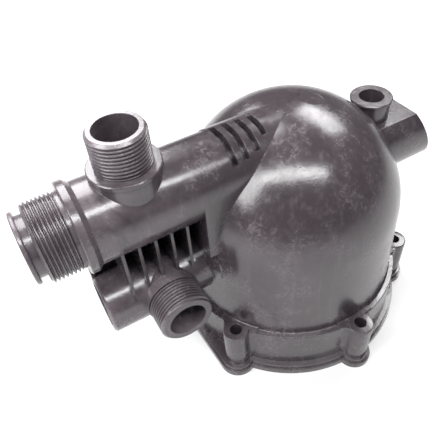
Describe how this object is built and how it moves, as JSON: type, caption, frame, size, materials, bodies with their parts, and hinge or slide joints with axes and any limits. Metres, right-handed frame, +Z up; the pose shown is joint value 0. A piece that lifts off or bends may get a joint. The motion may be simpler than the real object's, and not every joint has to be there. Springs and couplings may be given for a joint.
{
  "type": "pump cover",
  "caption": "Domed plastic pump cover with a bolted flange, a threaded manifold pipe with ports, a drain cylinder, fins and a side outlet.",
  "frame": {"origin": "centre of the flange's underside", "axes": "+Z up the cap's axis away from the flange's face, -X out along the manifold pipe, -Y out of the front port"},
  "size_m": [0.2917, 0.198, 0.2019],
  "materials": {
    "moulded_plastic": "dark grey glass-filled plastic, satin with pale mottled fibre marks"
  },
  "bodies": {
    "root": {"pump_cover": "moulded_plastic"}
  },
  "joints": []
}
